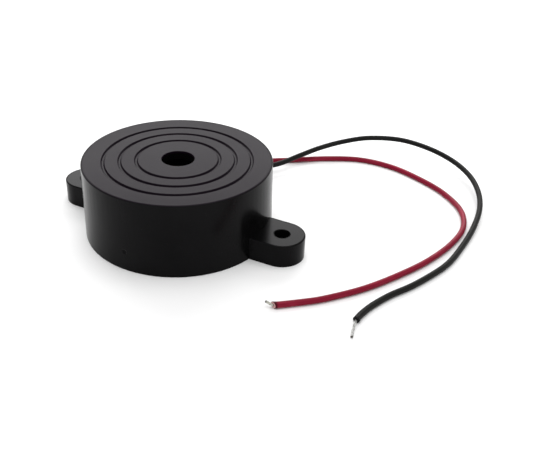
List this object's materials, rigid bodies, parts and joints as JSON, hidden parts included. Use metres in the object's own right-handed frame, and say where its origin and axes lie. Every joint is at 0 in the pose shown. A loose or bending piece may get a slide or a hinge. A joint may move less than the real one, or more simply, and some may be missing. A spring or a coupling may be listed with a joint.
{
  "type": "piezo buzzer",
  "caption": "Round black flange-mount piezo buzzer with screw ears, a central sound port, ring grooves in its front face and insulated red and black leads.",
  "frame": {"origin": "centre of the housing's rear rim, on the plane that it stands on", "axes": "+X through the two screw ears, +Y towards the lead notch, +Z from the rear rim to the front face"},
  "size_m": [0.0939, 0.0839, 0.017],
  "materials": {
    "housing_plastic": "satin moulded black plastic",
    "cover_plastic": "matt moulded black plastic",
    "plate_brass": "rolled brass sheet",
    "piezo_ceramic": "fired ceramic",
    "electrode_silver": "fired silver film",
    "silicone": "cured silicone adhesive",
    "board_laminate": "paper laminate board",
    "ferrite": "sintered ferrite",
    "enamelled_copper": "enamelled copper wire",
    "moulded_epoxy": "moulded epoxy",
    "resistor_lacquer": "lacquer",
    "diode_glass": "glass case over a die",
    "capacitor_epoxy": "dipped epoxy",
    "tinned_copper": "tinned copper",
    "solder": "solder",
    "red_insulation": "extruded vinyl",
    "black_insulation": "extruded vinyl",
    "blue_insulation": "extruded vinyl"
  },
  "bodies": {
    "root": {"housing": "housing_plastic", "back_cover": "cover_plastic", "diaphragm_plate": "plate_brass", "piezo_ceramic": "piezo_ceramic", "silver_electrodes": "electrode_silver", "adhesive_bead": "silicone", "circuit_board": "board_laminate", "coil_core": "ferrite", "coil_winding": "enamelled_copper", "drive_transistor": "moulded_epoxy", "base_resistor": "resistor_lacquer", "bias_resistor": "resistor_lacquer", "bleed_resistor": "resistor_lacquer", "polarity_diode": "diode_glass", "filter_capacitor": "capacitor_epoxy", "component_legs": "tinned_copper", "solder_joints": "solder", "plate_wire": "black_insulation", "main_wire": "red_insulation", "feedback_wire": "blue_insulation", "element_solder": "solder", "red_lead": "red_insulation", "red_lead_ends": "tinned_copper", "black_lead": "black_insulation", "black_lead_ends": "tinned_copper"}
  },
  "joints": []
}
